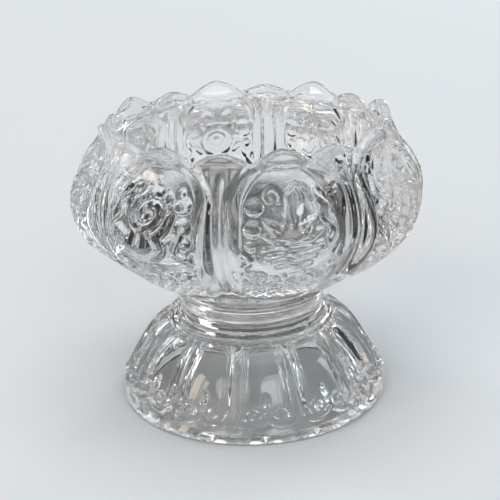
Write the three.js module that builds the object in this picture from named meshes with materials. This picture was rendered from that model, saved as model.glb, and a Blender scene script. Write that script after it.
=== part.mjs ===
// Glass butter lamp: a lotus bowl bonded at the neck to a lotus foot.
// Millimetres, +Z up, origin on the table under the lamp's axis. An outer petal faces -Y.
import * as THREE from 'three';

// Heights, stacked from the table to the petal tips
const footHeight = 23.6;
const neckHeight = 11.9;
const bellyRise = 26.5;
const lipRise = 18.8;
const tipRise = 5.5;
const bondRise = 5.4;
const bowlFloorThickness = 9.5;
const hollowDepth = 19.5;
const brimHeight = 3.0;

// How far the petal features lie below the tips
const innerTipDrop = 1.3;
const petalArchDrop = 12.3;
const innerArchDrop = 6.0;
const pinchDrop = 6.6;
const edgeBellyLift = 2.5;

// Radii of the three main rounds, and the steps in and out from them
const bellyRadius = 52.5;
const waistRadius = 21.4;
const footRadius = 40.2;
const rimTuck = 10.1;
const pinchTuck = 0.7;
const innerTipTuck = 1.8;
const petalEdgeTuck = 2.2;
const petalGroove = 1.7;
const rimWidth = 6.4;
const cavityTaper = 1.4;
const cavityCorner = 15.6;
const undersideFlare = 1.0;
const collarFlare = 1.2;
const footShoulderStep = 1.8;
const brimTuck = 0.7;
const standingRingWidth = 5.4;
const hollowCorner = 18.6;
const footGroove = 1.3;

// Edges and the bond
const tipThickness = 3.0;
const tipRound = 1.0;
const lipRound = 0.8;
const brimRound = 1.2;
const waistChamfer = 0.3;
const bondThickness = 0.2;
const bondInset = 0.6;
const bondSides = 96;

// Pressed relief: beaded petal edges, sunk panels, an emblem boss on each bowl petal, foot ribs and scrolls
const panelRecess = 1.0;
const panelEdge = 0.7;
const petalBeadWidth = 3.0;
const petalBeadRise = 0.3;
const reliefStartRise = 1.5;
const reliefFullRise = 8.5;
const capRise = 0.8;
const capBlend = 1.8;
const emblemLift = 5.0;
const emblemHalfWidth = 10.0;
const emblemHalfHeight = 11.0;
const emblemSlope = 0.4;
const footPanelRecess = 0.85;
const footPanelStart = 2.7;
const footPanelEnd = 26.0;
const footPanelBlend = 1.3;
const footRibRise = 1.1;
const footRibStart = 4.6;
const scrollRise = 1.1;
const scrollRadius = 2.7;
const scrollHeight = 5.8;

// Petal pattern, angles in degrees
const bowlPetals = 8;
const footPetals = 12;
const petalGapAngle = 3.7;
const innerPetalHalfAngle = 15.0;
const grooveRampAngle = 2.2;
const footGrooveAngle = 5.0;
const footPanelAngle = 10.0;
const footRibAngle = 12.0;
const footRibHalfAngle = 1.2;
const scrollAngle = 5.7;
const bowlColumnAngles = [0, 6, 12, 14.8, 17.1, 18.8, 21];
const footColumnAngles = [0, scrollAngle, footPanelAngle, footRibAngle, 13.4];

// Shape of a petal's arch: the first power rounds the tip, the second fills the shoulders
const archTipPower = 1.5;
const archSidePower = 0.6;

const undersideHeight = footHeight + neckHeight;
const bellyHeight = undersideHeight + bellyRise;
const edgeBellyHeight = bellyHeight + edgeBellyLift;
const lipHeight = bellyHeight + lipRise;
const lampHeight = lipHeight + tipRise;
const pinchHeight = lampHeight - pinchDrop;
const innerTipHeight = lampHeight - innerTipDrop;
const cavityFloorHeight = undersideHeight + bowlFloorThickness;
const bondHeight = footHeight + bondRise;
const footTopHeight = bondHeight - bondThickness;

const edgeBellyRadius = bellyRadius - petalEdgeTuck;
const rimRadius = bellyRadius - rimTuck;
const pinchRadius = rimRadius - pinchTuck;
const lipRadius = rimRadius - rimWidth;
const cavityWallRadius = lipRadius - cavityTaper;
const cavityFloorRadius = cavityWallRadius - cavityCorner;
const undersideRadius = waistRadius + undersideFlare;
const collarRadius = waistRadius + collarFlare;
const footShoulderRadius = collarRadius + footShoulderStep;
const brimRadius = footRadius - brimTuck;
const ringOuterRadius = footRadius - brimRound;
const ringInnerRadius = ringOuterRadius - standingRingWidth;
const hollowCeilingRadius = ringInnerRadius - hollowCorner;

const halfPitch = 180 / bowlPetals;
const outerArch = {
  halfAngle: halfPitch - petalGapAngle, shoulder: lampHeight - petalArchDrop, tip: lampHeight,
};
const innerArch = {
  halfAngle: innerPetalHalfAngle, shoulder: innerTipHeight - innerArchDrop, tip: innerTipHeight,
};

const glass = new THREE.MeshStandardMaterial({
  color: 0xf4f6f6, roughness: 0.04, metalness: 0, transparent: true, opacity: 0.35,
});
const adhesive = new THREE.MeshStandardMaterial({
  color: 0xf0f2ee, roughness: 0.15, metalness: 0, transparent: true, opacity: 0.4,
});

const point = (radius, height) => new THREE.Vector2(radius, height);
const mix = THREE.MathUtils.lerp;
const ramp = THREE.MathUtils.smoothstep;
const roundTop = (share) => Math.sqrt(Math.max(0, 1 - share ** 2));

// Degrees from the nearest copy of a feature that repeats around the axis.
function angleFrom(degrees, copies, firstAt = 0) {
  const pitch = 360 / copies;
  const turn = (degrees - firstAt) / pitch;
  return Math.abs(turn - Math.round(turn)) * pitch;
}

// Radius of a rising meridian curve at one height, found by halving.
function radiusAt(curve, height) {
  let low = 0;
  let high = 1;
  for (let step = 0; step < 40; step += 1) {
    const middle = (low + high) / 2;
    if (curve.getPoint(middle).y < height) low = middle;
    else high = middle;
  }
  return curve.getPoint(low).x;
}

// Meridian of the bowl's underside: it leaves the stem flat and stands upright at the belly.
function underside(radius, height) {
  return new THREE.CubicBezierCurve(
    point(undersideRadius, undersideHeight),
    point(mix(undersideRadius, radius, 0.32), mix(undersideHeight, height, 0.15)),
    point(radius, mix(undersideHeight, height, 0.58)),
    point(radius, height),
  );
}

// Meridian above the belly, upright at both ends.
function upperside(radius, height, endRadius, endHeight) {
  return new THREE.CubicBezierCurve(
    point(radius, height),
    point(radius, mix(height, endHeight, 0.5)),
    point(endRadius, mix(height, endHeight, 0.64)),
    point(endRadius, endHeight),
  );
}

const centreUnderside = underside(bellyRadius, bellyHeight);
const centreUpperside = upperside(bellyRadius, bellyHeight, pinchRadius, pinchHeight);
const edgeUnderside = underside(edgeBellyRadius, edgeBellyHeight);
const edgeUpperside = upperside(edgeBellyRadius, edgeBellyHeight, rimRadius, lampHeight);

// Down the middle of an outer petal: full at the belly, pinched in below the tip.
function petalCentreRadius(height) {
  if (height <= bellyHeight) return radiusAt(centreUnderside, height);
  if (height <= pinchHeight) return radiusAt(centreUpperside, height);
  return mix(pinchRadius, rimRadius, ramp(height, pinchHeight, lampHeight));
}

function petalEdgeRadius(height) {
  if (height <= edgeBellyHeight) return radiusAt(edgeUnderside, height);
  return radiusAt(edgeUpperside, height);
}

// Half-angle of an arched petal at one height, full width below its shoulder.
function archHalfAngle(arch, height) {
  const climb = THREE.MathUtils.clamp((height - arch.shoulder) / (arch.tip - arch.shoulder), 0, 1);
  return arch.halfAngle * (1 - climb ** (1 / archSidePower)) ** (1 / archTipPower);
}

function archHeight(arch, offAxis) {
  const share = Math.min(1, offAxis / arch.halfAngle);
  return mix(arch.shoulder, arch.tip, (1 - share ** archTipPower) ** archSidePower);
}

// Height of the scalloped rim: outer petal tips with the inner petals between them.
function rimHeight(degrees) {
  const offOuter = angleFrom(degrees, bowlPetals);
  const outer = archHeight(outerArch, offOuter);
  const inner = archHeight(innerArch, halfPitch - offOuter);
  return Math.max(outer, inner);
}

// Millimetres from an outer petal's outline, positive inside it.
function insidePetal(offOuter, height, radius) {
  const across = THREE.MathUtils.degToRad(archHalfAngle(outerArch, height) - offOuter) * radius;
  const upright = archHeight(outerArch, offOuter) - height;
  if (across <= 0 || upright <= 0) return 0;
  return across * upright / Math.hypot(across, upright);
}

// Pressed pattern of an outer petal: a bead inside its outline, a sunk panel and the emblem's boss.
function petalRelief(offOuter, height, radius) {
  const inside = insidePetal(offOuter, height, radius);
  const bead = inside > 0 ? petalBeadRise * roundTop(2 * inside / petalBeadWidth - 1) : 0;
  const floor = ramp(inside, petalBeadWidth - panelEdge, petalBeadWidth);
  const across = THREE.MathUtils.degToRad(offOuter) * radius / emblemHalfWidth;
  const up = (height - bellyHeight - emblemLift) / emblemHalfHeight;
  const emblem = panelRecess * ramp(1 - Math.hypot(across, up), 0, emblemSlope);
  const rise = height - undersideHeight;
  const cap = ramp(height - pinchHeight, capRise, capRise + capBlend);
  return (bead - (panelRecess - emblem) * floor) * ramp(rise, reliefStartRise, reliefFullRise) * (1 - cap);
}

// Bowl outside: outer petals swell between their edges, inner petals lie in the grooves.
function bowlRadius(degrees, height) {
  const offOuter = angleFrom(degrees, bowlPetals);
  const towardsEdge = Math.min(1, offOuter / outerArch.halfAngle);
  const panel = mix(petalCentreRadius(height), petalEdgeRadius(height), towardsEdge ** 2);
  const depth = petalGroove * ramp(height, undersideHeight, bellyHeight);
  const lean = ramp(height, innerArch.shoulder, innerArch.tip);
  const outline = archHalfAngle(outerArch, height);
  const outside = ramp(offOuter, outline, outline + grooveRampAngle);
  return panel - mix(depth, innerTipTuck, lean) * outside + petalRelief(offOuter, height, panel);
}

// One meridian of the bowl, from the bond face round the rim to the cavity floor.
function bowlMeridian(degrees) {
  const rimEdge = rimHeight(degrees) - tipRound;
  const profile = [
    point(0, bondHeight),
    point(waistRadius - waistChamfer, bondHeight),
  ];
  const stem = new THREE.QuadraticBezierCurve(
    point(waistRadius, bondHeight + waistChamfer),
    point(waistRadius, mix(bondHeight, undersideHeight, 0.9)),
    point(undersideRadius, undersideHeight),
  );
  profile.push(...stem.getPoints(4));
  const lowerRows = 7;
  for (let row = 1; row <= lowerRows; row += 1) {
    const height = mix(undersideHeight, bellyHeight, row / lowerRows);
    profile.push(point(bowlRadius(degrees, height), height));
  }
  const upperRows = 9;
  for (let row = 1; row <= upperRows; row += 1) {
    const height = mix(bellyHeight, rimEdge, row / upperRows);
    profile.push(point(bowlRadius(degrees, height), height));
  }
  const rimOutside = bowlRadius(degrees, rimEdge);
  profile.push(point(rimOutside - tipThickness / 2, rimEdge + tipRound));
  profile.push(point(rimOutside - tipThickness, rimEdge + tipRound / 2));
  profile.push(point(lipRadius + lipRound, lipHeight));
  const wall = new THREE.LineCurve(
    point(lipRadius, lipHeight - lipRound),
    point(cavityWallRadius, mix(cavityFloorHeight, lipHeight, 0.45)),
  );
  profile.push(...wall.getPoints(2));
  const corner = new THREE.QuadraticBezierCurve(
    wall.v2,
    point(cavityWallRadius, cavityFloorHeight),
    point(cavityFloorRadius, cavityFloorHeight),
  );
  profile.push(...corner.getPoints(6).slice(1));
  profile.push(point(0, cavityFloorHeight));
  return profile;
}

const footSide = new THREE.CubicBezierCurve(
  point(brimRadius, brimHeight),
  point(mix(brimRadius, footShoulderRadius, 0.26), mix(brimHeight, footHeight, 0.34)),
  point(mix(brimRadius, footShoulderRadius, 0.42), mix(brimHeight, footHeight, 0.76)),
  point(footShoulderRadius, footHeight),
);

// Pressed pattern of the foot, square to its side: sunk panels between ribs, two scrolls low on each.
function footRelief(offPetal, side, run) {
  const across = THREE.MathUtils.degToRad(offPetal - scrollAngle) * side.x;
  const scroll = scrollRise * roundTop(Math.hypot(across, run - scrollHeight) / scrollRadius);
  const ribShare = (offPetal - footRibAngle) / footRibHalfAngle;
  const rib = footRibRise * roundTop(ribShare) * ramp(run, footRibStart - footPanelBlend, footRibStart);
  const topFade = 1 - ramp(run, footPanelEnd - footPanelBlend, footPanelEnd);
  const inPanel = 1 - ramp(offPetal, footPanelAngle, footRibAngle - footRibHalfAngle);
  const panel = footPanelRecess * inPanel * ramp(run, footPanelStart, footPanelStart + footPanelBlend);
  return (Math.max(scroll, rib) - panel) * topFade;
}

// One meridian of the foot, from the ceiling of its hollow round the brim to the bond face.
function footMeridian(degrees) {
  const hollow = new THREE.CubicBezierCurve(
    point(hollowCeilingRadius, hollowDepth),
    point(mix(hollowCeilingRadius, ringInnerRadius, 0.55), hollowDepth),
    point(mix(hollowCeilingRadius, ringInnerRadius, 0.8), 0.5 * hollowDepth),
    point(ringInnerRadius, 0),
  );
  const profile = [point(0, hollowDepth), ...hollow.getPoints(6)];
  profile.push(point(ringOuterRadius, 0));
  profile.push(point(footRadius, brimRound));
  const offBoundary = angleFrom(degrees, footPetals, -halfPitch);
  const groove = footGroove * (1 - ramp(offBoundary, 0, footGrooveAngle));
  const sideRows = 12;
  for (let row = 0; row <= sideRows; row += 1) {
    const share = row / sideRows;
    const side = footSide.getPointAt(share);
    const along = footSide.getTangentAt(share);
    const rise = footRelief(180 / footPetals - offBoundary, side, share * footSide.getLength());
    const lift = rise - groove * Math.sin(Math.PI * share);
    profile.push(point(side.x + along.y * lift, side.y - along.x * lift));
  }
  const neck = new THREE.QuadraticBezierCurve(
    point(collarRadius, footHeight),
    point(waistRadius, mix(footHeight, footTopHeight, 0.5)),
    point(waistRadius, footTopHeight - waistChamfer),
  );
  profile.push(...neck.getPoints(4));
  profile.push(point(waistRadius - waistChamfer, footTopHeight));
  profile.push(point(0, footTopHeight));
  return profile;
}

// Angles of a turned body's columns: the same ones either side of each petal's middle, and its boundary.
function petalColumns(petals, anglesFromMiddle, firstAt) {
  const pitch = 360 / petals;
  const columns = [];
  for (let petal = 0; petal < petals; petal += 1) {
    const middle = firstAt + petal * pitch;
    anglesFromMiddle.forEach((angle) => columns.push(middle + angle));
    columns.push(middle + pitch / 2);
    anglesFromMiddle.slice(1).reverse().forEach((angle) => columns.push(middle + pitch - angle));
  }
  return columns;
}

// Turned body whose meridian changes with the angle around the axis, counted from -Y towards +X.
function petalTurning(meridianAt, columns) {
  const geometry = new THREE.LatheGeometry(meridianAt(columns[0]), columns.length);
  const rows = meridianAt(columns[0]).length;
  const position = geometry.attributes.position;
  [...columns, columns[0]].forEach((degrees, column) => {
    const angle = THREE.MathUtils.degToRad(degrees);
    meridianAt(degrees).forEach((at, row) => {
      position.setXYZ(column * rows + row, at.x * Math.sin(angle), at.y, at.x * Math.cos(angle));
    });
  });
  geometry.rotateX(Math.PI / 2);
  geometry.computeVertexNormals();
  return geometry;
}

function bondDisc() {
  const radius = waistRadius - waistChamfer - bondInset;
  const disc = new THREE.CylinderGeometry(radius, radius, bondThickness, bondSides);
  disc.rotateX(Math.PI / 2);
  disc.translate(0, 0, bondHeight - bondThickness / 2);
  return disc;
}

function named(name, geometry, material) {
  const mesh = new THREE.Mesh(geometry, material);
  mesh.name = name;
  return mesh;
}

const bowlColumns = petalColumns(bowlPetals, bowlColumnAngles, 0);
const footColumns = petalColumns(footPetals, footColumnAngles, 180 / footPetals - halfPitch);

const lamp = new THREE.Group();
lamp.add(named('lotus_bowl', petalTurning(bowlMeridian, bowlColumns), glass));
lamp.add(named('bond_film', bondDisc(), adhesive));
lamp.add(named('lotus_foot', petalTurning(footMeridian, footColumns), glass.clone()));

export default lamp;
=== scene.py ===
"""Looks of a clear pressed-glass butter lamp: a lotus bowl bonded at the neck to a lotus foot."""
import math

import bpy
import numpy as np
from mathutils import Matrix, Vector


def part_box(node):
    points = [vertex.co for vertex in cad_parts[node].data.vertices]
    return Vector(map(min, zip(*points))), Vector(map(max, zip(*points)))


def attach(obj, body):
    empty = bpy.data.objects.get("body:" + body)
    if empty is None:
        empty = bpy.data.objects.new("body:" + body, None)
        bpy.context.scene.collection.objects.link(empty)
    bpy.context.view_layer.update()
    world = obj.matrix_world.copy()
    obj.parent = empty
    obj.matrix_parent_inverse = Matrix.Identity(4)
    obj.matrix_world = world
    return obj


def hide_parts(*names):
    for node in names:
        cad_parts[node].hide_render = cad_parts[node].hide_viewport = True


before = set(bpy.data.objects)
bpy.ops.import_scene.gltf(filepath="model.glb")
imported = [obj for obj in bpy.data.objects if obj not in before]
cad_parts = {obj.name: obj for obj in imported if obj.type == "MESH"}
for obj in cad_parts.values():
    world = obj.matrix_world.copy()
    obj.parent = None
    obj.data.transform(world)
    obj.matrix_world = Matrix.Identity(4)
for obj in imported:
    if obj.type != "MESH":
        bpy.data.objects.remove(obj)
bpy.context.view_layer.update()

MM = 0.001
LAMP_BODY = "root"

# Sizes in millimetres and angles in degrees. The main ones are read off the CAD model.
bowl_low, bowl_high = (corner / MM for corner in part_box("lotus_bowl"))
foot_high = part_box("lotus_foot")[1] / MM
BELLY_RADIUS = bowl_high.x
LAMP_HEIGHT = bowl_high.z
BOND_HEIGHT = bowl_low.z
FOOT_RADIUS = foot_high.x
FOOT_TOP = foot_high.z

UNDERSIDE_RADIUS = 22.4
UNDERSIDE_HEIGHT = 35.5
BELLY_HEIGHT = 62.0
EDGE_BELLY_RADIUS = 50.3
EDGE_BELLY_HEIGHT = 64.5
PINCH_RADIUS = 41.7
PINCH_HEIGHT = 79.7
RIM_RADIUS = 42.4
LIP_RADIUS = 36.0
LIP_HEIGHT = 80.8
CAVITY_WALL_RADIUS = 34.6
CAVITY_WALL_HEIGHT = 61.1
CAVITY_FLOOR_RADIUS = 19.0
CAVITY_FLOOR_HEIGHT = 45.0
WAIST_RADIUS = 21.4
NECK_RADIUS = 21.0
NECK_BEAD_RISE = 1.7
NECK_BEAD_MIDDLE = 33.6
NECK_BEAD_HALF_HEIGHT = 1.6
NECK_BEAD_ROWS = 13
PETAL_GROOVE = 1.7
INNER_TIP_TUCK = 1.8
TIP_THICKNESS = 3.0
TIP_ROUND = 1.0
LIP_ROUND = 0.8
BOWL_PETALS = 8
GROOVE_RAMP = 2.2
OUTER_ARCH = {"half_angle": 18.8, "shoulder": 74.0, "tip": LAMP_HEIGHT}
INNER_ARCH = {"half_angle": 15.0, "shoulder": 79.0, "tip": 85.0}
ARCH_TIP_POWER = 1.5
ARCH_SIDE_POWER = 0.6
CAVITY_ROWS = 15

FOOT_PETALS = 12
BRIM_RADIUS = 39.5
BRIM_HEIGHT = 3.0
SHOULDER_RADIUS = 24.4
SHOULDER_HEIGHT = 23.6
RING_OUTER_RADIUS = 39.0
RING_INNER_RADIUS = 33.6
HOLLOW_RADIUS = 15.0
HOLLOW_DEPTH = 19.5
FOOT_GROOVE = 1.3
FOOT_GROOVE_ANGLE = 5.0
FOOT_COLUMNS = 60
FOOT_ROWS = 80
HOLLOW_ROWS = 15

# Columns of the bowl's mesh in each petal: close together over the panel, wider apart over the strips
PANEL_COLUMNS = 70
STRIP_COLUMNS = 9
FINE_HALF_ANGLE = 16.0
PLAIN_STRIDE = 4

# Rows of the bowl's outside: below the panels, over them, and from their top to the rim
LOW_ROWS = 8
PANEL_ROWS = 84
TIP_ROWS = 20

# Pressed relief, in millimetres and degrees
PANEL_RECESS = 1.0
PANEL_START = 37.0
PANEL_FULL = 44.0
CAP_START = PINCH_HEIGHT + 0.8
CAP_FULL = PINCH_HEIGHT + 2.6
PETAL_BEAD_WIDTH = 3.0
PETAL_BEAD_RISE = 0.3
PETAL_BEAD_DROP = 0.4
STRIP_RIB_RISE = 0.6
STRIP_RIB_HALF_ANGLE = 1.1
STRIP_RIB_TOP = 82.0
RELIEF_EDGE = 0.45
LOW = 0.6
HIGH = 1.0
PEARL = 1.4
WAVE_WIDTH = 1.0
FOOT_PANEL_RECESS = 0.85
FOOT_PANEL_HALF_ANGLE = 10.4
FOOT_PETAL_LENGTH = 27.0
FOOT_PETAL_PER_DEGREE = 0.56
BOND_OVERLAP = 0.02
PANEL_TURN_RADIUS = 50.0

# Rounded edge at the bond face, as pairs of how far in and how far up
BOND_EDGE = ((0.25, 0.0), (0.06, 0.08), (0.0, 0.3))


def ramp(value, start, end):
    share = np.clip((value - start) / (end - start), 0.0, 1.0)
    return share * share * (3.0 - 2.0 * share)


def mix(start, end, share):
    return start + (end - start) * share


def bezier(points, shares):
    """Radius and height along a Bezier meridian, one row for each share of its run."""
    shares = np.asarray(shares, float)[:, None]
    rows = [np.repeat(np.array([point], float), len(shares), axis=0) for point in points]
    while len(rows) > 1:
        rows = [mix(a, b, shares) for a, b in zip(rows, rows[1:])]
    return rows[0]


def radius_at(points, height):
    run = bezier(points, np.linspace(0.0, 1.0, 600))
    return np.interp(height, run[:, 1], run[:, 0])


def angle_from(degrees, copies, first_at=0.0):
    """Signed degrees from the nearest copy of a feature that repeats around the axis."""
    pitch = 360.0 / copies
    turn = (degrees - first_at) / pitch
    return (turn - np.round(turn)) * pitch


# Lotus bowl: smooth form

def underside(radius, height):
    return [
        (UNDERSIDE_RADIUS, UNDERSIDE_HEIGHT),
        (mix(UNDERSIDE_RADIUS, radius, 0.32), mix(UNDERSIDE_HEIGHT, height, 0.15)),
        (radius, mix(UNDERSIDE_HEIGHT, height, 0.58)),
        (radius, height),
    ]


def upperside(radius, height, end_radius, end_height):
    return [
        (radius, height),
        (radius, mix(height, end_height, 0.5)),
        (end_radius, mix(height, end_height, 0.64)),
        (end_radius, end_height),
    ]


def petal_centre_radius(height):
    low = radius_at(underside(BELLY_RADIUS, BELLY_HEIGHT), height)
    high = radius_at(upperside(BELLY_RADIUS, BELLY_HEIGHT, PINCH_RADIUS, PINCH_HEIGHT), height)
    tip = mix(PINCH_RADIUS, RIM_RADIUS, ramp(height, PINCH_HEIGHT, LAMP_HEIGHT))
    radius = np.where(height <= BELLY_HEIGHT, low, high)
    return np.where(height > PINCH_HEIGHT, tip, radius)


def petal_edge_radius(height):
    low = radius_at(underside(EDGE_BELLY_RADIUS, EDGE_BELLY_HEIGHT), height)
    high = radius_at(upperside(EDGE_BELLY_RADIUS, EDGE_BELLY_HEIGHT, RIM_RADIUS, LAMP_HEIGHT), height)
    return np.where(height <= EDGE_BELLY_HEIGHT, low, high)


def arch_half_angle(arch, height):
    climb = np.clip((height - arch["shoulder"]) / (arch["tip"] - arch["shoulder"]), 0.0, 1.0)
    return arch["half_angle"] * (1.0 - climb ** (1.0 / ARCH_SIDE_POWER)) ** (1.0 / ARCH_TIP_POWER)


def arch_height(arch, off_axis):
    share = np.minimum(1.0, off_axis / arch["half_angle"])
    return mix(arch["shoulder"], arch["tip"], (1.0 - share ** ARCH_TIP_POWER) ** ARCH_SIDE_POWER)


def rim_height(degrees):
    off_outer = np.abs(angle_from(degrees, BOWL_PETALS))
    half_pitch = 180.0 / BOWL_PETALS
    outer = arch_height(OUTER_ARCH, off_outer)
    inner = arch_height(INNER_ARCH, half_pitch - off_outer)
    return np.maximum(outer, inner)


def bowl_radius(off_outer, height):
    """Smooth outside of the bowl, before the pressed relief."""
    towards_edge = np.minimum(1.0, off_outer / OUTER_ARCH["half_angle"])
    panel = mix(petal_centre_radius(height), petal_edge_radius(height), towards_edge ** 2)
    depth = PETAL_GROOVE * ramp(height, UNDERSIDE_HEIGHT, BELLY_HEIGHT)
    lean = ramp(height, INNER_ARCH["shoulder"], INNER_ARCH["tip"])
    outline = arch_half_angle(OUTER_ARCH, height)
    outside = ramp(off_outer, outline, outline + GROOVE_RAMP)
    return panel - mix(depth, INNER_TIP_TUCK, lean) * outside


def inside_outline(arch, off_axis, height, radius):
    """Millimetres from a petal's outline, positive inside it."""
    across = np.radians(arch_half_angle(arch, height) - off_axis) * radius
    upright = arch_height(arch, np.minimum(off_axis, arch["half_angle"])) - height
    inside = (across > 0.0) & (upright > 0.0)
    slant = np.sqrt(across ** 2 + upright ** 2) + 1e-9
    near = np.abs(across) * np.abs(upright) / slant
    return np.where(inside, near, -np.abs(across))


# Lotus bowl: raised pattern of each petal

def round_top(share):
    return np.sqrt(np.clip(1.0 - share ** 2, 0.0, None))


class Relief:
    """Raised pattern on one petal: x runs across it and y up it, in millimetres from its middle."""

    def __init__(self, x, y):
        self.x = x
        self.y = y
        self.height = np.zeros_like(x)

    def lift(self, height):
        self.height = np.maximum(self.height, height)

    def step(self, inside, height):
        """Flat-topped field with a short steep edge; inside is the distance in from its outline."""
        self.lift(height * ramp(inside, 0.0, RELIEF_EDGE))

    def far_from(self, at, stretch=1.0):
        return np.hypot(self.x - at[0], (self.y - at[1]) / stretch)

    def dome(self, at, radius, height, stretch=1.0):
        share = np.clip(self.far_from(at, stretch) / radius, 0.0, 1.0)
        self.lift(height * (1.0 - share ** 2) ** 0.75)

    def domes(self, at, radius, height, stretch=1.0):
        for side in (-1, 1):
            self.dome((side * at[0], at[1]), radius, height, stretch)

    def disc(self, at, radius, height, stretch=1.0):
        self.step(radius - self.far_from(at, stretch), height)

    def ring(self, at, radius, width, height, stretch=1.0):
        self.step(0.5 * width - np.abs(self.far_from(at, stretch) - radius), height)

    def cord(self, points, width, height):
        """Flat-topped line through the points; its width may change from point to point."""
        widths = np.broadcast_to(np.asarray(width, float), (len(points),))
        inside = np.full_like(self.x, -9.0)
        for start, end, wide, wide_end in zip(points, points[1:], widths, widths[1:]):
            run = np.subtract(end, start)
            along = (self.x - start[0]) * run[0] + (self.y - start[1]) * run[1]
            along = np.clip(along / max(1e-9, run @ run), 0.0, 1.0)
            far = np.hypot(self.x - start[0] - along * run[0], self.y - start[1] - along * run[1])
            inside = np.maximum(inside, 0.5 * mix(wide, wide_end, along) - far)
        self.step(inside, height)

    def cords(self, points, width, height):
        for side in (-1, 1):
            self.cord([(side * x, y) for x, y in points], width, height)

    def curl(self, at, radius, turns, start, width, height, hand=1):
        """Spiral that winds in from its outer end, which lies at the start angle."""
        count = max(8, int(turns * 14))
        points = []
        for step in range(count + 1):
            share = step / count
            angle = math.radians(start) + hand * share * turns * 2.0 * math.pi
            reach = radius * (1.0 - 0.86 * share)
            points.append((at[0] + reach * math.cos(angle), at[1] + reach * math.sin(angle)))
        self.cord(points, width, height)

    def curls(self, at, radius, turns, start, width, height):
        self.curl(at, radius, turns, start, width, height)
        self.curl((-at[0], at[1]), radius, turns, 180.0 - start, width, height, hand=-1)


def flowing(points, steps=6):
    """Smooth line through the points."""
    points = np.asarray(points, float)
    padded = np.vstack([2.0 * points[0] - points[1], points, 2.0 * points[-1] - points[-2]])
    line = []
    for a, b, c, d in zip(padded, padded[1:], padded[2:], padded[3:]):
        for step in range(steps):
            t = step / steps
            line.append(0.5 * (2.0 * b + (c - a) * t + (2.0 * a - 5.0 * b + 4.0 * c - d) * t ** 2
                               + (3.0 * b - a - 3.0 * c + d) * t ** 3))
    line.append(points[-1])
    return [tuple(at) for at in line]


def parasol(relief):
    relief.dome((0.0, 12.0), 1.5, HIGH, 1.8)
    canopy = 1.0 - np.hypot(relief.x / 9.4, (relief.y - 3.4) / 7.4)
    relief.step(np.where(relief.y > 3.4, 8.0 * canopy, -1.0), LOW)
    for foot in (-7.6, -3.9, 0.0, 3.9, 7.6):
        relief.cord([(0.15 * foot, 9.8), (0.75 * foot, 7.2), (foot, 3.6)], (0.9, 1.5, 1.7), HIGH)
    for tassel in (-7.4, -4.4, -1.5, 1.5, 4.4, 7.4):
        relief.cord([(tassel, 2.8), (1.08 * tassel, -0.6)], (1.6, 2.3), LOW)
    relief.cord([(0.0, 0.0), (0.0, -10.4)], 2.2, HIGH)
    relief.cords(flowing([(0.8, -1.6), (4.2, -4.6), (8.2, -3.4), (10.2, -6.4)]), 2.1, LOW)
    relief.cords(flowing([(0.8, -6.0), (3.6, -8.4), (6.4, -7.4)]), 1.8, HIGH)


def endless_knot(relief):
    reach = 8.8
    diagonal = 0.707
    for lane in (-5.4, -1.8, 1.8, 5.4):
        end = reach - abs(lane) * 0.55
        back, forth = (lane - end) * diagonal, (lane + end) * diagonal
        relief.cord([(back, forth), (forth, back)], 2.1, LOW)
        relief.cord([(back, -forth), (forth, -back)], 1.9, HIGH)
    for x, y in ((0.0, 9.4), (7.6, 0.0), (5.0, 5.2), (-5.0, 5.2)):
        relief.ring((x, y), 1.7, 1.6, HIGH)
        relief.ring((-x, -y), 1.7, 1.6, HIGH)
    relief.dome((0.0, 12.6), 1.4, HIGH, 1.3)
    relief.cords(flowing([(1.5, -10.6), (5.4, -9.6), (8.2, -11.4), (10.4, -8.2)]), 2.0, LOW)


def golden_fish(relief):
    back = flowing([(6.4, -8.2), (7.8, -3.6), (5.6, 1.2), (2.6, 5.0), (2.4, 8.8)])
    girth = 1.4 + 4.2 * np.sin(math.pi * np.linspace(0.12, 0.97, len(back)))
    relief.cords(back, girth, LOW)
    for share in (0.24, 0.38, 0.52, 0.66):
        x, y = back[int(share * len(back))]
        relief.domes((x, y), 1.4, HIGH)
    relief.cords([(6.4, -8.0), (9.8, -10.8)], (1.4, 2.6), LOW)
    relief.cords([(6.4, -8.0), (3.4, -11.2)], (1.4, 2.6), LOW)
    relief.cords([(8.6, -2.2), (10.8, 0.8)], (2.2, 1.4), HIGH)
    relief.domes((2.9, 7.8), 0.9, HIGH)
    relief.curl((0.0, 12.0), 2.1, 1.1, 90.0, 1.4, LOW)
    relief.dome((0.0, -2.0), 2.0, HIGH, 1.6)


def treasure_vase(relief):
    relief.disc((0.0, -3.2), 6.4, LOW, 0.88)
    relief.ring((0.0, -3.2), 5.2, 1.5, HIGH, 0.88)
    relief.ring((0.0, -3.2), 2.9, 1.3, HIGH, 0.88)
    relief.dome((0.0, -3.2), 1.5, HIGH)
    relief.cord([(0.0, 1.6), (0.0, 5.0)], (5.4, 3.8), LOW)
    relief.cord([(-3.6, 5.6), (3.6, 5.6)], 2.1, HIGH)
    relief.dome((0.0, 9.0), 2.3, HIGH, 1.35)
    relief.cords(flowing([(1.8, 10.4), (5.0, 11.4), (7.8, 8.6), (6.2, 6.0)]), 1.9, HIGH)
    relief.cord([(-3.8, -9.6), (3.8, -9.6)], 2.3, HIGH)
    relief.curls((9.2, 0.8), 3.0, 1.3, 230.0, 1.6, LOW)
    relief.cords(flowing([(6.2, -6.6), (8.6, -5.2), (10.4, -8.0)]), 2.0, LOW)


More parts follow.
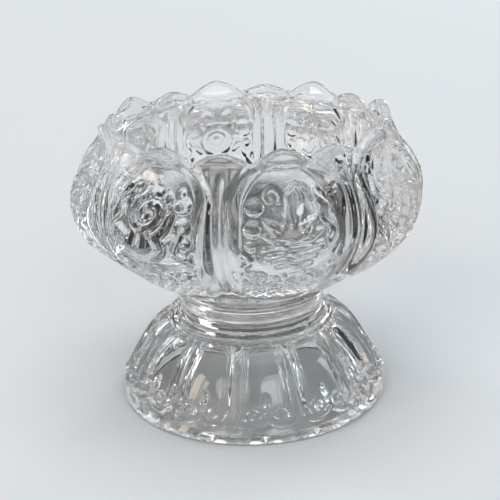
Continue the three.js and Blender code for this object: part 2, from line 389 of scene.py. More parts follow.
def lotus_flower(relief):
    heart = -3.4
    vein_rise = 0.35
    for turn, length, level in ((78, 8.6, LOW), (-78, 8.6, LOW), (52, 9.6, HIGH), (-52, 9.6, HIGH),
                                (26, 10.0, LOW), (-26, 10.0, LOW), (0, 11.6, HIGH)):
        across = length * math.sin(math.radians(turn))
        up = length * math.cos(math.radians(turn))
        petal = [(share * across, heart + share * up) for share in (0.0, 0.5, 1.0)]
        vein = [(share * across, heart + share * up) for share in (0.4, 0.8)]
        relief.cord(petal, (2.0, 4.4, 0.8), level)
        relief.cord(vein, (1.3, 0.9), level + vein_rise)
    relief.curl((-4.6, 9.0), 2.9, 1.4, -40.0, 1.5, HIGH)
    relief.cord(flowing([(1.0, 10.2), (3.4, 11.8), (6.4, 10.6), (7.6, 7.6)]), 1.7, HIGH)
    relief.cord(flowing([(3.4, 11.6), (4.6, 9.2), (4.2, 7.4)]), 1.3, HIGH)
    for stamen in (-2.4, 0.0, 2.4):
        relief.dome((stamen, 0.4), 1.0, HIGH + LOW)
    for row in range(4):
        low = -5.4 - 1.9 * row
        reach = 8.0 - 1.1 * row
        shift = 1.6 * (row % 2)
        ripple = [(-reach, low), (shift - 0.45 * reach, low + 0.7), (shift, low - 0.3), (reach, low + 0.6)]
        relief.cord(flowing(ripple), 1.1, LOW)


def white_conch(relief):
    relief.curl((-0.8, 3.0), 7.4, 2.0, -60.0, 3.0, LOW)
    body = flowing([(3.2, -3.4), (4.6, -6.6), (1.4, -9.8), (-3.0, -11.0)])
    relief.cord(body, np.linspace(3.6, 1.2, len(body)), LOW)
    for rib in range(5):
        angle = math.radians(20.0 + 32.0 * rib)
        relief.dome((-0.8 + 6.4 * math.cos(angle), 3.0 + 6.4 * math.sin(angle)), 1.4, HIGH)
    relief.cords(flowing([(6.6, -4.0), (9.8, -2.4), (8.4, -6.8), (10.8, -9.0)]), 2.0, HIGH)
    relief.domes((7.8, 10.0), 1.7, HIGH)


def victory_banner(relief):
    relief.dome((0.0, 12.0), 1.7, HIGH, 1.5)
    for tier in range(3):
        top = 7.8 - 5.3 * tier
        half = 4.2 + 0.7 * tier
        relief.cord([(-half, top), (half, top)], 1.9, HIGH)
        relief.step(np.minimum(half - np.abs(relief.x), 1.9 - np.abs(relief.y - top + 1.9)), 0.6 * LOW)
        for column in range(4):
            relief.disc((0.64 * half * (column - 1.5), top - 2.8), 0.29 * half, LOW, 1.2)
    relief.cords(flowing([(4.8, 6.8), (8.6, 5.0), (7.4, 1.2), (10.0, -2.6), (7.8, -7.0)]), 2.0, LOW)
    relief.cord([(0.0, -6.4), (0.0, -10.6)], 2.2, LOW)
    relief.curls((4.6, -9.8), 2.2, 1.1, 90.0, 1.4, HIGH)


def wheel(relief):
    hub = (0.0, 1.0)
    relief.ring(hub, 7.2, 2.3, HIGH)
    relief.ring(hub, 3.2, 1.4, LOW)
    relief.dome(hub, 2.0, HIGH)
    for spoke in range(8):
        angle = math.radians(45.0 * spoke + 22.5)
        across, up = math.cos(angle), math.sin(angle)
        inner, outer, knob = [(reach * across, hub[1] + reach * up) for reach in (2.4, 6.6, 9.4)]
        relief.cord([inner, outer], (1.2, 2.0), LOW)
        relief.dome(knob, 1.5, HIGH)
    relief.cords(flowing([(3.0, -9.2), (6.6, -10.4), (9.8, -8.0)]), 1.9, LOW)
    relief.dome((0.0, -10.6), 1.5, HIGH)


# One emblem for each outer petal, counted from the petal that faces -Y towards +X
EMBLEMS = (lotus_flower, endless_knot, victory_banner, parasol,
           treasure_vase, wheel, golden_fish, white_conch)
EMBLEM_MIDDLE = 6.5


def petal_surround(relief, side):
    """What every petal shares: pearls down one side, a ribbon down the other, clouds and waves below."""
    relief.dome((9.5 * side, 13.0), 2.9, PEARL)
    relief.dome((10.4 * side, 6.6), 2.6, PEARL)
    relief.dome((11.2 * side, 2.0), 1.5, HIGH)
    ribbon = [(-8.6, 15.4), (-11.0, 11.6), (-9.4, 8.2), (-11.8, 4.6), (-10.4, 1.6)]
    relief.cord(flowing([(x * side, y) for x, y in ribbon]), 1.8, HIGH)
    relief.cords(flowing([(13.4, 0.4), (11.6, -2.6), (13.2, -5.4), (10.8, -8.0)]), 2.0, LOW)
    relief.curls((9.4, -9.0), 2.6, 1.1, 60.0, 1.5, HIGH)
    relief.curls((4.0, -9.6), 2.4, 1.1, 120.0, 1.4, LOW)
    for row in range(5):
        middle = -12.0 - 2.8 * row
        for column in range(7):
            at = (4.8 * (column - 3) + 2.4 * (row % 2), middle)
            far = relief.far_from(at)
            scallop = np.maximum(0.5 * WAVE_WIDTH - np.abs(far - 2.1), 0.8 - far)
            relief.step(np.where(relief.y > middle - 0.4, scallop, -1.0), LOW)


def petal_run(height):
    """Millimetres along a petal's middle line, up from the belly."""
    heights = np.linspace(UNDERSIDE_HEIGHT, LAMP_HEIGHT, 800)
    radii = petal_centre_radius(heights)
    steps = np.hypot(np.diff(heights), np.diff(radii))
    run = np.concatenate([[0.0], np.cumsum(steps)])
    run -= np.interp(BELLY_HEIGHT, heights, run)
    return np.interp(height, heights, run)


def bowl_relief(degrees, height, radius):
    """Change of radius that the pressed pattern makes to the smooth outside."""
    off = angle_from(degrees, BOWL_PETALS)
    away = np.abs(off)
    inside = inside_outline(OUTER_ARCH, away, height, radius)
    low_fade = ramp(height, PANEL_START, PANEL_FULL)
    cap = ramp(height, CAP_START, CAP_FULL)
    floor = ramp(inside, PETAL_BEAD_WIDTH - 0.4, PETAL_BEAD_WIDTH + 0.3)
    change = -PANEL_RECESS * floor * low_fade * (1.0 - cap)
    bead_share = np.clip((inside - 0.5 * PETAL_BEAD_WIDTH) / (0.5 * PETAL_BEAD_WIDTH), -1.0, 1.0)
    inner_half = np.where(bead_share > 0.0, 1.0 - round_top(bead_share), 0.0)
    inner_drop = PETAL_BEAD_DROP * inner_half * (1.0 - floor)
    bead = PETAL_BEAD_RISE * round_top(bead_share) - inner_drop
    change = change + np.where(inside > 0.0, bead, 0.0) * low_fade * (1.0 - cap)
    rise = np.zeros_like(change)
    petal = np.mod(np.round(degrees * BOWL_PETALS / 360.0), BOWL_PETALS).astype(int)
    across = PANEL_TURN_RADIUS * np.radians(off)
    up = petal_run(height)
    for index, emblem in enumerate(EMBLEMS):
        mine = petal == index
        surround = Relief(across[mine], up[mine])
        petal_surround(surround, -1 if index % 2 == 0 else 1)
        symbol = Relief(across[mine], up[mine] - EMBLEM_MIDDLE)
        emblem(symbol)
        rise[mine] = np.maximum(surround.height, symbol.height)
    rise = rise * floor * low_fade * (1.0 - cap)
    half_pitch = 180.0 / BOWL_PETALS
    from_rib = np.clip((half_pitch - away) / STRIP_RIB_HALF_ANGLE, -1.0, 1.0)
    strip = np.where(inside < 0.0, 1.0, 0.0) * ramp(height, 40.0, 52.0)
    rib = STRIP_RIB_RISE * round_top(from_rib) * strip * ramp(STRIP_RIB_TOP - height, 0.0, 4.0)
    return change + rise + rib


def outside_heights(rim_edge):
    """Row heights of the bowl's outside: even along the meridian, then drawn out to the rim."""
    panel_top = OUTER_ARCH["shoulder"]
    heights = np.linspace(UNDERSIDE_HEIGHT, panel_top, 600)
    run = petal_run(heights)
    low_run = np.linspace(run[0], petal_run(PANEL_FULL), LOW_ROWS, endpoint=False)
    panel_run = np.linspace(petal_run(PANEL_FULL), run[-1], PANEL_ROWS, endpoint=False)
    fixed = np.interp(np.concatenate([low_run, panel_run]), run, heights)[:, None]
    fixed = np.repeat(fixed, len(rim_edge), axis=1)
    climb = np.linspace(0.0, 1.0, TIP_ROWS)[:, None]
    return np.vstack([fixed, mix(panel_top, rim_edge[None, :], climb)])


def petal_columns():
    """Degrees of the bowl's fine columns, all round."""
    pitch = 360.0 / BOWL_PETALS
    strip = np.linspace(-0.5 * pitch, -FINE_HALF_ANGLE, STRIP_COLUMNS, endpoint=False)
    panel = np.linspace(-FINE_HALF_ANGLE, FINE_HALF_ANGLE, PANEL_COLUMNS + 1)
    one = np.concatenate([strip, panel, -strip[:0:-1]])
    return np.concatenate([petal * pitch + one for petal in range(BOWL_PETALS)])


def bowl_rings():
    """Rings of the bowl as degrees, radii and heights, from the bond face to the cavity floor."""
    fine = petal_columns()
    plain = fine[::PLAIN_STRIDE]
    rim = rim_height(fine)
    rim_edge = rim - TIP_ROUND
    rings = []

    def ring(degrees, radius, height):
        rings.append((degrees, *(np.broadcast_to(size, degrees.shape) for size in (radius, height))))

    bond = BOND_HEIGHT - BOND_OVERLAP
    for tuck, climb in BOND_EDGE:
        ring(plain, WAIST_RADIUS - tuck, bond + climb)
    neck_foot = bond + BOND_EDGE[-1][1]
    neck_top = NECK_BEAD_MIDDLE - NECK_BEAD_HALF_HEIGHT
    for share in (0.2, 0.5, 0.8, 0.95):
        ring(plain, mix(WAIST_RADIUS, NECK_RADIUS, share * share), mix(neck_foot, neck_top, share))
    for turn in np.linspace(-0.5 * math.pi, 0.5 * math.pi, NECK_BEAD_ROWS):
        radius = NECK_RADIUS + NECK_BEAD_RISE * math.cos(turn)
        ring(plain, radius, NECK_BEAD_MIDDLE + NECK_BEAD_HALF_HEIGHT * math.sin(turn))
    ring(plain, UNDERSIDE_RADIUS - 0.7, UNDERSIDE_HEIGHT - 0.25)
    ring(plain, UNDERSIDE_RADIUS - 0.2, UNDERSIDE_HEIGHT - 0.15)

    heights = outside_heights(rim_edge)
    turns = np.broadcast_to(fine, heights.shape)
    smooth = bowl_radius(np.abs(angle_from(turns, BOWL_PETALS)), heights)
    pressed = smooth + bowl_relief(turns, heights, smooth)
    pressed = np.minimum(pressed, BELLY_RADIUS)
    for radius, height in zip(pressed, heights):
        ring(fine, radius, height)

    edge = pressed[-1]
    for share in (0.25, 0.5, 0.75, 1.0):
        turn = share * math.pi / 2.0
        tuck = 0.5 * TIP_THICKNESS * (1.0 - math.cos(turn))
        ring(fine, edge - tuck, rim_edge + TIP_ROUND * math.sin(turn))
    inner_edge = edge - TIP_THICKNESS
    ring(fine, edge - 0.8 * TIP_THICKNESS, rim - 0.12)
    ring(fine, inner_edge, rim - 0.5)
    lip = np.minimum(LIP_HEIGHT, rim - 1.1)
    lip_edge = LIP_RADIUS + LIP_ROUND
    for share in (0.2, 0.45, 0.7, 0.9):
        sag = 0.25 * math.sin(math.pi * share)
        ring(fine, mix(inner_edge, lip_edge, share) + sag, mix(rim - 0.5, lip, share) - sag)
    lip = lip[::PLAIN_STRIDE]
    lip_foot = lip - LIP_ROUND
    ring(plain, lip_edge, lip)
    ring(plain, LIP_RADIUS + 0.3, lip - 0.25)
    ring(plain, LIP_RADIUS, lip_foot)
    for share in (0.25, 0.5, 0.75):
        ring(plain, mix(LIP_RADIUS, CAVITY_WALL_RADIUS, share), mix(lip_foot, CAVITY_WALL_HEIGHT, share))
    corner = [
        (CAVITY_WALL_RADIUS, CAVITY_WALL_HEIGHT),
        (CAVITY_WALL_RADIUS, CAVITY_FLOOR_HEIGHT),
        (CAVITY_FLOOR_RADIUS, CAVITY_FLOOR_HEIGHT),
    ]
    for radius, height in bezier(corner, np.linspace(0.0, 1.0, CAVITY_ROWS)):
        ring(plain, radius, height)
    return rings


def faces_between(low, high):
    """Faces between two rows of point numbers, of which one may have several steps to each of the other's."""
    steps = min(len(low), len(high)) - 1
    low_stride = (len(low) - 1) // steps
    high_stride = (len(high) - 1) // steps
    faces = []
    for step in range(steps):
        bottom = low[step * low_stride:(step + 1) * low_stride + 1]
        top = high[step * high_stride:(step + 1) * high_stride + 1]
        faces.append(bottom + top[::-1])
    return faces


def turned_faces(rings, closed):
    """Points in metres, rows of point numbers and faces between them; angles count from -Y towards +X."""
    points, rows, faces = [], [], []
    count = 0
    for degrees, radii, heights in rings:
        turns = np.radians(degrees)
        points.append(np.stack([radii * np.sin(turns), -radii * np.cos(turns), heights], axis=-1) * MM)
        row = list(range(count, count + len(degrees)))
        rows.append(row + row[:1] if closed else row)
        count += len(degrees)
    for low, high in zip(rows, rows[1:]):
        faces += faces_between(low, high)
    return np.vstack(points), rows, faces


def fill_mesh(name, points, faces, flat_faces):
    mesh = bpy.data.meshes.new(name)
    mesh.from_pydata(points.tolist(), [], faces)
    smooth = np.ones(len(faces), bool)
    smooth[list(flat_faces)] = False
    mesh.polygons.foreach_set("use_smooth", smooth)
    mesh.update()
    return mesh


def new_piece(name, mesh, material=None):
    piece = bpy.data.objects.new(name, mesh)
    bpy.context.scene.collection.objects.link(piece)
    if material is not None:
        mesh.materials.append(material)
    return piece


def make_bowl(material):
    points, rows, faces = turned_faces(bowl_rings(), True)
    faces.append(rows[0][:0:-1])
    faces.append(rows[-1][1:])
    mesh = fill_mesh("lotus_bowl_glass", points, faces, (len(faces) - 2, len(faces) - 1))
    return new_piece("lotus_bowl_glass", mesh, material)


# Lotus foot: one petal, turned twelve times about the axis

def foot_relief(off, run, groove_fade):
    """Pattern of one foot petal; off in degrees from its middle, run from 0 at the brim to 1 above."""
    relief = Relief(FOOT_PETAL_PER_DEGREE * off, FOOT_PETAL_LENGTH * run)
    away = np.abs(off)
    half_pitch = 180.0 / FOOT_PETALS
    groove = FOOT_GROOVE * (1.0 - ramp(half_pitch - away, 0.0, FOOT_GROOVE_ANGLE)) * groove_fade
    panel = ramp(FOOT_PANEL_HALF_ANGLE - away, 0.0, 0.8) * ramp(run, 0.1, 0.16) * ramp(0.97 - run, 0.0, 0.04)
    relief.cords([(6.5, 25.6), (6.8, 14.0), (6.6, 7.0), (5.6, 4.6)], 1.5, 1.5)
    relief.cords([(5.0, 24.6), (5.3, 14.0), (5.2, 8.0)], 1.0, 1.15)
    relief.cord(flowing([(-5.0, 24.6), (-3.2, 26.0), (0.0, 26.5), (3.2, 26.0), (5.0, 24.6)]), 1.0, 1.1)
    relief.curls((3.2, 5.8), 2.4, 1.25, -20.0, 1.3, 1.8)
    relief.dome((0.0, 9.8), 1.3, 1.9, 1.8)
    relief.dome((0.0, 6.6), 1.0, 1.5)
    relief.cords(flowing([(7.4, 4.2), (6.2, 2.5), (3.8, 2.1), (1.6, 3.0), (0.0, 4.3)]), 1.5, 1.7)
    relief.domes((7.85, 2.4), 1.2, 1.3, 1.3)
    return relief.height - FOOT_PANEL_RECESS * panel - groove


def make_foot_petal():
    half_pitch = 180.0 / FOOT_PETALS
    off = np.linspace(-half_pitch, half_pitch, FOOT_COLUMNS + 1)
    first_at = -180.0 / BOWL_PETALS + half_pitch
    rings = []

    def ring(radius, height):
        rings.append((off + first_at, *(np.broadcast_to(size, off.shape) for size in (radius, height))))

    hollow = [
        (HOLLOW_RADIUS, HOLLOW_DEPTH),
        (mix(HOLLOW_RADIUS, RING_INNER_RADIUS, 0.55), HOLLOW_DEPTH),
        (mix(HOLLOW_RADIUS, RING_INNER_RADIUS, 0.8), 0.5 * HOLLOW_DEPTH),
        (RING_INNER_RADIUS, 0.0),
    ]
    for radius, height in bezier(hollow, np.linspace(0.0, 0.985, HOLLOW_ROWS)):
        ring(radius, height)
    ring(RING_INNER_RADIUS + 0.15, 0.05)
    ring(RING_INNER_RADIUS + 0.5, 0.0)
    ring(RING_OUTER_RADIUS - 0.2, 0.0)
    brim = [(RING_OUTER_RADIUS, 0.0), (FOOT_RADIUS, 0.0), (FOOT_RADIUS, 1.3)]
    for radius, height in bezier(brim, np.linspace(0.0, 1.0, 5)):
        ring(radius, height)
    ring(mix(FOOT_RADIUS, BRIM_RADIUS, 0.3), 2.2)
    side = [
        (BRIM_RADIUS, BRIM_HEIGHT),
        (mix(BRIM_RADIUS, SHOULDER_RADIUS, 0.26), mix(BRIM_HEIGHT, SHOULDER_HEIGHT, 0.34)),
        (mix(BRIM_RADIUS, SHOULDER_RADIUS, 0.42), mix(BRIM_HEIGHT, SHOULDER_HEIGHT, 0.76)),
        (SHOULDER_RADIUS, SHOULDER_HEIGHT),
    ]
    fine = bezier(side, np.linspace(0.0, 1.0, 400))
    lengths = np.concatenate([[0.0], np.cumsum(np.hypot(*np.diff(fine, axis=0).T))])
    runs = np.linspace(0.0, 1.0, FOOT_ROWS)
    radii = np.interp(runs, lengths / lengths[-1], fine[:, 0])
    levels = np.interp(runs, lengths / lengths[-1], fine[:, 1])
    slope = np.stack([np.gradient(levels), -np.gradient(radii)], axis=-1)
    slope = slope / np.linalg.norm(slope, axis=1)[:, None]
    turns, along = np.meshgrid(off, runs)
    rise = foot_relief(turns, along, np.sin(math.pi * along))
    rise = rise * ramp(along, 0.0, 0.05) * ramp(1.0 - along, 0.0, 0.03)
    for radius, height, lean, lift in zip(radii, levels, slope, rise):
        ring(radius + lean[0] * lift, height + lean[1] * lift)
    shoulder = ((24.2, 24.1), (23.6, 24.45), (22.95, 24.5))
    collar = ((22.65, 24.75), (22.55, 25.3), (22.4, 25.9), (22.0, 26.3), (21.55, 26.5))
    waist = ((21.45, 26.8), (21.35, 27.4), (21.38, 28.0), (WAIST_RADIUS, FOOT_TOP - 0.25))
    bond_edge = ((WAIST_RADIUS - 0.06, FOOT_TOP - 0.06), (WAIST_RADIUS - 0.25, FOOT_TOP + BOND_OVERLAP))
    for radius, height in shoulder + collar + waist + bond_edge:
        ring(radius, height)
    points, rows, faces = turned_faces(rings, False)
    ceiling = len(points)
    bond = ceiling + 1
    poles = [(0.0, 0.0, HOLLOW_DEPTH * MM), (0.0, 0.0, (FOOT_TOP + BOND_OVERLAP) * MM)]
    faces.append([ceiling] + rows[0][::-1])
    faces.append([bond] + rows[-1])
    mesh = fill_mesh("foot_petal", np.vstack([points, poles]), faces, (len(faces) - 2, len(faces) - 1))
    return new_piece("foot_petal", mesh)


def petal_ring_tree():
    """Node tree that turns one petal about the axis and welds the copies into one ring."""
    tree = bpy.data.node_groups.new("petal_ring", "GeometryNodeTree")
    face = tree.interface
    face.new_socket("Geometry", in_out="INPUT", socket_type="NodeSocketGeometry")
    sockets = {}
    for name, kind in (("Petals", "Int"), ("Pitch", "Float"), ("Weld", "Float"), ("Glass", "Material")):
        socket = face.new_socket(name, in_out="INPUT", socket_type="NodeSocket" + kind)
        sockets[name] = socket.identifier
    face.new_socket("Geometry", in_out="OUTPUT", socket_type="NodeSocketGeometry")
    nodes, links = tree.nodes, tree.links
    entry = nodes.new("NodeGroupInput")
    places = nodes.new("GeometryNodeMeshLine")
    places.inputs["Offset"].default_value = (0.0, 0.0, 0.0)
    links.new(entry.outputs["Petals"], places.inputs["Count"])
    order = nodes.new("GeometryNodeInputIndex")
    turn = nodes.new("ShaderNodeMath")
    turn.operation = "MULTIPLY"
    links.new(order.outputs["Index"], turn.inputs[0])
    links.new(entry.outputs["Pitch"], turn.inputs[1])
    upright = nodes.new("ShaderNodeCombineXYZ")
    links.new(turn.outputs["Value"], upright.inputs["Z"])
    copies = nodes.new("GeometryNodeInstanceOnPoints")
    links.new(places.outputs["Mesh"], copies.inputs["Points"])
    links.new(entry.outputs["Geometry"], copies.inputs["Instance"])
    links.new(upright.outputs["Vector"], copies.inputs["Rotation"])
    whole = nodes.new("GeometryNodeRealizeInstances")
    links.new(copies.outputs["Instances"], whole.inputs["Geometry"])
    weld = nodes.new("GeometryNodeMergeByDistance")
    links.new(whole.outputs["Geometry"], weld.inputs["Geometry"])
    links.new(entry.outputs["Weld"], weld.inputs["Distance"])
    dress = nodes.new("GeometryNodeSetMaterial")
    links.new(weld.outputs["Geometry"], dress.inputs["Geometry"])
    links.new(entry.outputs["Glass"], dress.inputs["Material"])
    leave = nodes.new("NodeGroupOutput")
    links.new(dress.outputs["Geometry"], leave.inputs["Geometry"])
    return tree, sockets


def make_foot(material):
    petal = make_foot_petal()
    tree, sockets = petal_ring_tree()
    turning = petal.modifiers.new("petal_ring", "NODES")
    turning.node_group = tree
    turning[sockets["Petals"]] = FOOT_PETALS
    turning[sockets["Pitch"]] = 2.0 * math.pi / FOOT_PETALS
    turning[sockets["Weld"]] = 0.01 * MM
    turning[sockets["Glass"]] = material
    graph = bpy.context.evaluated_depsgraph_get()
    graph.update()
    mesh = bpy.data.meshes.new_from_object(petal.evaluated_get(graph))
    mesh.name = "lotus_foot_glass"
    petal_mesh = petal.data
    bpy.data.objects.remove(petal)
    bpy.data.meshes.remove(petal_mesh)
    return new_piece("lotus_foot_glass", mesh)


# Materials

GLASS_IOR = 1.52
ADHESIVE_IOR = 1.5
GLASS_POLISH = 0.006
ADHESIVE_POLISH = 0.08
GLASS_WAVE_DEPTH = 0.03 * MM
ADHESIVE_WAVE_DEPTH = 0.01 * MM
CORD_SCALE = 420.0
CORD_SHARE = 0.06
DULL_START = 0.45
DULL_FULL = 0.75
PAPER_TONES = {"A": (0.71, 0.74, 0.76, 1.0), "B": (0.72, 0.75, 0.77, 1.0)}
PAPER_GRAIN_SCALE = 3.0


def mould_skin_group():
    """Pressed-glass skin: soft waves from the mould, fine cords in the melt and a faint change of polish.

    Height is for a bump, and the tint runs from Clear to Shaded with the waves.
    """
    group = bpy.data.node_groups.new("mould_skin", "ShaderNodeTree")
    face = group.interface
    for name, value in (("Wave Scale", 90.0), ("Cord Scale", CORD_SCALE), ("Polish High", 0.03)):
        socket = face.new_socket(name, in_out="INPUT", socket_type="NodeSocketFloat")
        socket.default_value = value
    for name in ("Clear", "Shaded"):
        face.new_socket(name, in_out="INPUT", socket_type="NodeSocketColor")
    for name in ("Height", "Roughness"):
        face.new_socket(name, in_out="OUTPUT", socket_type="NodeSocketFloat")
    face.new_socket("Tint", in_out="OUTPUT", socket_type="NodeSocketColor")
    nodes, links = group.nodes, group.links
    entry = nodes.new("NodeGroupInput")
    leave = nodes.new("NodeGroupOutput")
    place = nodes.new("ShaderNodeTexCoord")
    wave = nodes.new("ShaderNodeTexNoise")
    wave.inputs["Detail"].default_value = 1.5
    cord = nodes.new("ShaderNodeTexNoise")
    cord.inputs["Detail"].default_value = 3.0
    cord.inputs["Distortion"].default_value = 1.2
    for noise, scale in ((wave, "Wave Scale"), (cord, "Cord Scale")):
        links.new(place.outputs["Object"], noise.inputs["Vector"])
        links.new(entry.outputs[scale], noise.inputs["Scale"])
    faint = nodes.new("ShaderNodeMath")
    faint.operation = "MULTIPLY_ADD"
    faint.inputs[1].default_value = CORD_SHARE
    links.new(cord.outputs["Fac"], faint.inputs[0])
    links.new(wave.outputs["Fac"], faint.inputs[2])
    links.new(faint.outputs["Value"], leave.inputs["Height"])
    polish = nodes.new("ShaderNodeMapRange")
    polish.inputs["From Min"].default_value = DULL_START
    polish.inputs["From Max"].default_value = DULL_FULL
    polish.inputs["To Min"].default_value = 0.0
    links.new(cord.outputs["Fac"], polish.inputs["Value"])
    links.new(entry.outputs["Polish High"], polish.inputs["To Max"])
    links.new(polish.outputs["Result"], leave.inputs["Roughness"])
    tint = nodes.new("ShaderNodeMix")
    tint.data_type = "RGBA"
    links.new(wave.outputs["Fac"], tint.inputs["Factor"])
    links.new(entry.outputs["Clear"], tint.inputs["A"])
    links.new(entry.outputs["Shaded"], tint.inputs["B"])
    links.new(tint.outputs["Result"], leave.inputs["Tint"])
    return group


def clear_material(name, skin, ior, clear, shaded, wave_scale, polish, wave_depth):
    """See-through material; clear and shaded are the ends of its tint, and polish its roughest spot."""
    material = bpy.data.materials.new(name)
    material.use_nodes = True
    nodes, links = material.node_tree.nodes, material.node_tree.links
    shader = nodes["Principled BSDF"]
    shader.inputs["Transmission Weight"].default_value = 1.0
    shader.inputs["IOR"].default_value = ior
    surface = nodes.new("ShaderNodeGroup")
    surface.node_tree = skin
    surface.inputs["Wave Scale"].default_value = wave_scale
    surface.inputs["Polish High"].default_value = polish
    surface.inputs["Clear"].default_value = (*clear, 1.0)
    surface.inputs["Shaded"].default_value = (*shaded, 1.0)
    bump = nodes.new("ShaderNodeBump")
    bump.inputs["Strength"].default_value = 1.0
    bump.inputs["Distance"].default_value = wave_depth
    links.new(surface.outputs["Height"], bump.inputs["Height"])
    links.new(bump.outputs["Normal"], shader.inputs["Normal"])
    links.new(surface.outputs["Roughness"], shader.inputs["Roughness"])
    links.new(surface.outputs["Tint"], shader.inputs["Base Color"])
    return material


def floor_material():
    material = bpy.data.materials.new("pale_paper_floor")
    material.use_nodes = True
    nodes, links = material.node_tree.nodes, material.node_tree.links
    shader = nodes["Principled BSDF"]
    shader.inputs["Specular IOR Level"].default_value = 0.1
    shader.inputs["Roughness"].default_value = 0.8
    place = nodes.new("ShaderNodeTexCoord")
    grain = nodes.new("ShaderNodeTexNoise")
    grain.inputs["Scale"].default_value = PAPER_GRAIN_SCALE
    links.new(place.outputs["Object"], grain.inputs["Vector"])
    tone = nodes.new("ShaderNodeMix")
    tone.data_type = "RGBA"
    for end, colour in PAPER_TONES.items():
        tone.inputs[end].default_value = colour
    links.new(grain.outputs["Fac"], tone.inputs["Factor"])
    links.new(tone.outputs["Result"], shader.inputs["Base Color"])
    return material


# Studio

# Metres and degrees, with the lens and sensor in millimetres. Azimuths count from -Y towards +X.
CAMERA_AZIMUTH = -12.75
CAMERA_DISTANCE = 0.3354
CAMERA_HEIGHT = 0.1721
CAMERA_TILT = 69.05
CAMERA_ROLL = -1.89
CAMERA_LENS = 86.4
CAMERA_SENSOR = 36.0

# Paper sheet: each corner's distance behind the lamp's axis and to the side of it
SHEET_CORNERS = ((-0.09, -0.09), (-0.09, 0.09), (0.9, 0.26), (0.9, -0.26))
SHEET_DROP = 0.0001

# Surround and lights
DARK_LEVEL = 0.02
UPPER_LEVEL = 0.35
OVERHEAD_LEVEL = 2.4
SKY_TINT = (1.0, 1.01, 1.03)
SOFTBOX_ELEVATION = 36.0
SOFTBOX_SPREAD = 26.0
SOFTBOX_WHITE = (1.0, 0.99, 0.98)
STRIP_SIZE = (0.2, 1.0)
STRIP_DISTANCE = 1.5
STRIP_HEIGHT = 0.55
STRIP_AIM = Vector((0.0, 0.0, 0.045))
WARM_WHITE = (1.0, 0.83, 0.65)
COOL_WHITE = (0.72, 0.87, 1.0)
PLAIN_WHITE = (1.0, 1.0, 1.0)


def make_floor():
    """Sheet of pale paper under and behind the lamp, laid along the camera's line of sight."""
    turn = math.radians(CAMERA_AZIMUTH)
    ahead = Vector((-math.sin(turn), math.cos(turn), 0.0))
    aside = Vector((math.cos(turn), math.sin(turn), 0.0))
    corners = []
    for along, side in SHEET_CORNERS:
        corner = ahead * along + aside * side
        corners.append((corner.x, corner.y, -SHEET_DROP))
    mesh = bpy.data.meshes.new("studio_floor")
    mesh.from_pydata(corners, [], [list(range(len(corners)))])
    mesh.update()
    return new_piece("studio_floor", mesh, floor_material())


def studio_world():
    """Surround that is dark up to 30 degrees above the horizon and lit from overhead."""
    world = bpy.data.worlds.new("studio")
    world.use_nodes = True
    nodes, links = world.node_tree.nodes, world.node_tree.links
    place = nodes.new("ShaderNodeTexCoord")
    split = nodes.new("ShaderNodeSeparateXYZ")
    links.new(place.outputs["Generated"], split.inputs["Vector"])
    sky = nodes.new("ShaderNodeValToRGB")
    stops = ((0.0, DARK_LEVEL), (0.5, DARK_LEVEL), (0.62, UPPER_LEVEL), (0.87, UPPER_LEVEL),
             (0.92, OVERHEAD_LEVEL), (1.0, OVERHEAD_LEVEL))
    while len(sky.color_ramp.elements) < len(stops):
        sky.color_ramp.elements.new(0.5)
    for element, (position, level) in zip(sky.color_ramp.elements, stops):
        element.position = position
        element.color = (*(level * tint for tint in SKY_TINT), 1.0)
    links.new(split.outputs["Z"], sky.inputs["Fac"])
    links.new(sky.outputs["Color"], nodes["Background"].inputs["Color"])
    bpy.context.scene.world = world


def new_light(name, kind, power, colour):
    light = bpy.data.lights.new(name, kind)
    light.energy = power
    light.color = colour
    piece = bpy.data.objects.new(name, light)
    bpy.context.scene.collection.objects.link(piece)
    return piece


def far_softbox(name, azimuth, strength):
    """Even soft light from a wide source far away."""
    piece = new_light(name, "SUN", strength, SOFTBOX_WHITE)
    piece.data.angle = math.radians(SOFTBOX_SPREAD)
    turn, climb = math.radians(azimuth), math.radians(SOFTBOX_ELEVATION)
    source = Vector((math.sin(turn) * math.cos(climb), -math.cos(turn) * math.cos(climb), math.sin(climb)))
    piece.rotation_euler = (-source).to_track_quat("-Z", "Y").to_euler()


def strip_light(name, azimuth, watts, colour):
    """Tall narrow light that draws thin bright lines in the glass."""
    piece = new_light(name, "AREA", watts, colour)
    piece.data.shape = "RECTANGLE"
    piece.data.size, piece.data.size_y = STRIP_SIZE
    turn = math.radians(azimuth)
    piece.location = (STRIP_DISTANCE * math.sin(turn), -STRIP_DISTANCE * math.cos(turn), STRIP_HEIGHT)
    piece.rotation_euler = (STRIP_AIM - piece.location).to_track_quat("-Z", "Y").to_euler()
    piece.visible_camera = False


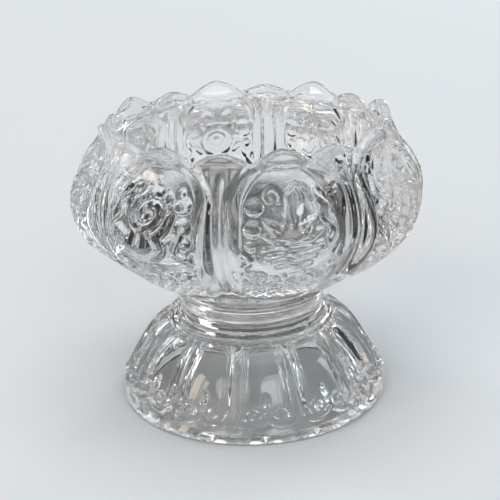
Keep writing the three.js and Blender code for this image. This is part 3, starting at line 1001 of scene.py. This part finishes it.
def make_camera():
    """Camera at the photograph's angle; its place and turn were fitted to the lamp's outline."""
    camera = bpy.data.cameras.new("photo_camera")
    camera.sensor_width = CAMERA_SENSOR
    camera.lens = CAMERA_LENS
    camera.clip_start = 0.01
    piece = bpy.data.objects.new("photo_camera", camera)
    bpy.context.scene.collection.objects.link(piece)
    azimuth = math.radians(CAMERA_AZIMUTH)
    heading = Matrix.Rotation(azimuth, 4, "Z")
    tilt = Matrix.Rotation(math.radians(CAMERA_TILT), 4, "X")
    roll = Matrix.Rotation(math.radians(CAMERA_ROLL), 4, "Z")
    across, back = CAMERA_DISTANCE * math.sin(azimuth), -CAMERA_DISTANCE * math.cos(azimuth)
    stand = Matrix.Translation((across, back, CAMERA_HEIGHT))
    piece.matrix_world = stand @ heading @ tilt @ roll
    bpy.context.scene.camera = piece


bpy.context.scene.view_settings.view_transform = "Standard"
make_camera()

skin = mould_skin_group()
bowl_glass = clear_material(
    "bowl_glass", skin, GLASS_IOR, clear=(0.97, 0.97, 0.97), shaded=(0.94, 0.94, 0.94),
    wave_scale=110.0, polish=GLASS_POLISH, wave_depth=GLASS_WAVE_DEPTH)
foot_glass = clear_material(
    "foot_glass", skin, GLASS_IOR, clear=(0.99, 0.99, 0.99), shaded=(0.98, 0.98, 0.98),
    wave_scale=130.0, polish=GLASS_POLISH, wave_depth=GLASS_WAVE_DEPTH)
adhesive = clear_material(
    "clear_adhesive", skin, ADHESIVE_IOR, clear=(0.6, 0.6, 0.59), shaded=(0.54, 0.54, 0.53),
    wave_scale=700.0, polish=ADHESIVE_POLISH, wave_depth=ADHESIVE_WAVE_DEPTH)

bowl = make_bowl(bowl_glass)
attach(bowl, LAMP_BODY)
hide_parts("lotus_bowl")

foot = make_foot(foot_glass)
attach(foot, LAMP_BODY)
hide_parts("lotus_foot")

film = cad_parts["bond_film"]
film.data.materials.clear()
film.data.materials.append(adhesive)

make_floor()
studio_world()
far_softbox("left_softbox", -40.0, 0.55)
far_softbox("right_softbox", 10.0, 0.5)
strip_light("right_strip", 75.0, 4.0, COOL_WHITE)
strip_light("back_right_strip", 140.0, 3.4, PLAIN_WHITE)
strip_light("back_left_strip", 220.0, 3.4, PLAIN_WHITE)
strip_light("left_strip", 285.0, 4.0, WARM_WHITE)

cycles = bpy.context.scene.cycles
cycles.max_bounces = 24
cycles.transmission_bounces = 24
cycles.glossy_bounces = 12
